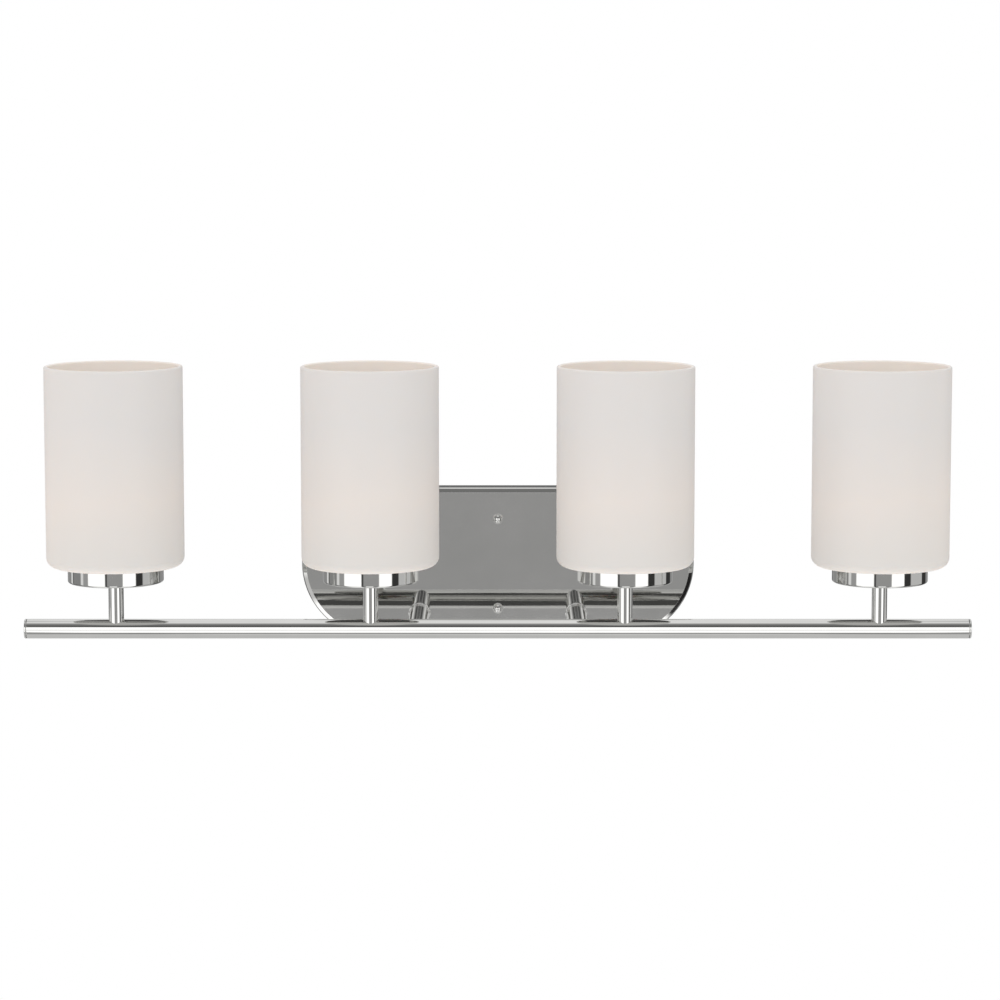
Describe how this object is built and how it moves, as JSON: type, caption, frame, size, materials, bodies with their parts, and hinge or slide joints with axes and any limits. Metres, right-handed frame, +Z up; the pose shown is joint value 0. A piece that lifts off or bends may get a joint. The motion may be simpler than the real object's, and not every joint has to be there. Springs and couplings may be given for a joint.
{
  "type": "vanity light bar",
  "caption": "Wall vanity light: a round chrome bar on an obround chrome canopy, carrying open-top opal glass cylinder shades on short posts, each round a bulb that screws out.",
  "frame": {"origin": "on the wall, at the middle of the canopy's outline, where the mounting strap's back face lies", "axes": "+X along the bar, to the right of someone who faces the light; +Y into the wall; +Z up"},
  "size_m": [0.775, 0.1583, 0.2376],
  "materials": {
    "chrome": "polished chrome plate",
    "zinc_steel": "zinc-plated steel",
    "green_screw": "green dyed zinc",
    "orange_plastic": "moulded",
    "yellow_plastic": "moulded",
    "opal_glass": "opal white, etched satin outside",
    "porcelain": "glazed porcelain",
    "brass": "rolled brass",
    "tin": "dull solder",
    "nickel": "plated lamp base",
    "bulb_glass": "soft white, lit faintly warm",
    "lead_insulation": "white sleeving"
  },
  "bodies": {
    "fixture": {"canopy": "chrome", "ball_nut_upper": "chrome", "ball_nut_lower": "chrome", "bar_tube": "chrome", "bar_end_plug_left": "chrome", "bar_end_plug_right": "chrome", "arm_left": "chrome", "arm_right": "chrome", "mounting_strap": "zinc_steel", "canopy_stud_upper": "zinc_steel", "canopy_stud_lower": "zinc_steel", "arm_locknut_left": "zinc_steel", "arm_locknut_right": "zinc_steel", "ground_screw": "green_screw", "wire_nut_live": "orange_plastic", "wire_nut_neutral": "yellow_plastic", "post_1": "chrome", "shade_cup_1": "chrome", "shade_ring_1": "chrome", "nipple_1": "zinc_steel", "glass_shade_1": "opal_glass", "socket_1": "porcelain", "screw_shell_1": "brass", "lead_1": "lead_insulation", "post_2": "chrome", "shade_cup_2": "chrome", "shade_ring_2": "chrome", "nipple_2": "zinc_steel", "glass_shade_2": "opal_glass", "socket_2": "porcelain", "screw_shell_2": "brass", "lead_2": "lead_insulation", "post_3": "chrome", "shade_cup_3": "chrome", "shade_ring_3": "chrome", "nipple_3": "zinc_steel", "glass_shade_3": "opal_glass", "socket_3": "porcelain", "screw_shell_3": "brass", "lead_3": "lead_insulation", "post_4": "chrome", "shade_cup_4": "chrome", "shade_ring_4": "chrome", "nipple_4": "zinc_steel", "glass_shade_4": "opal_glass", "socket_4": "porcelain", "screw_shell_4": "brass", "lead_4": "lead_insulation"},
    "bulb_1_foot": {"bulb_contact_1": "tin"},
    "bulb_1": {"bulb_base_1": "nickel", "bulb_glass_1": "bulb_glass"},
    "bulb_2_foot": {"bulb_contact_2": "tin"},
    "bulb_2": {"bulb_base_2": "nickel", "bulb_glass_2": "bulb_glass"},
    "bulb_3_foot": {"bulb_contact_3": "tin"},
    "bulb_3": {"bulb_base_3": "nickel", "bulb_glass_3": "bulb_glass"},
    "bulb_4_foot": {"bulb_contact_4": "tin"},
    "bulb_4": {"bulb_base_4": "nickel", "bulb_glass_4": "bulb_glass"}
  },
  "joints": [
    {"name": "bulb_1_lift", "type": "slide", "parent": "fixture", "child": "bulb_1_foot", "axis": [0, 0, 1], "range_m": [0, 0.0182]},
    {"name": "bulb_1_turn", "type": "hinge", "parent": "bulb_1_foot", "child": "bulb_1", "pos_m": [-0.31245, -0.102, 0.03], "axis": [0, 0, 1], "range_deg": [0, 1800]},
    {"name": "bulb_2_lift", "type": "slide", "parent": "fixture", "child": "bulb_2_foot", "axis": [0, 0, 1], "range_m": [0, 0.0182]},
    {"name": "bulb_2_turn", "type": "hinge", "parent": "bulb_2_foot", "child": "bulb_2", "pos_m": [-0.10415, -0.102, 0.03], "axis": [0, 0, 1], "range_deg": [0, 1800]},
    {"name": "bulb_3_lift", "type": "slide", "parent": "fixture", "child": "bulb_3_foot", "axis": [0, 0, 1], "range_m": [0, 0.0182]},
    {"name": "bulb_3_turn", "type": "hinge", "parent": "bulb_3_foot", "child": "bulb_3", "pos_m": [0.10415, -0.102, 0.03], "axis": [0, 0, 1], "range_deg": [0, 1800]},
    {"name": "bulb_4_lift", "type": "slide", "parent": "fixture", "child": "bulb_4_foot", "axis": [0, 0, 1], "range_m": [0, 0.0182]},
    {"name": "bulb_4_turn", "type": "hinge", "parent": "bulb_4_foot", "child": "bulb_4", "pos_m": [0.31245, -0.102, 0.03], "axis": [0, 0, 1], "range_deg": [0, 1800]}
  ],
  "couplings": [
    {"joint": "bulb_1_lift", "follows": "bulb_1_turn", "m_per_rad": 0.00057757},
    {"joint": "bulb_2_lift", "follows": "bulb_2_turn", "m_per_rad": 0.00057757},
    {"joint": "bulb_3_lift", "follows": "bulb_3_turn", "m_per_rad": 0.00057757},
    {"joint": "bulb_4_lift", "follows": "bulb_4_turn", "m_per_rad": 0.00057757}
  ]
}
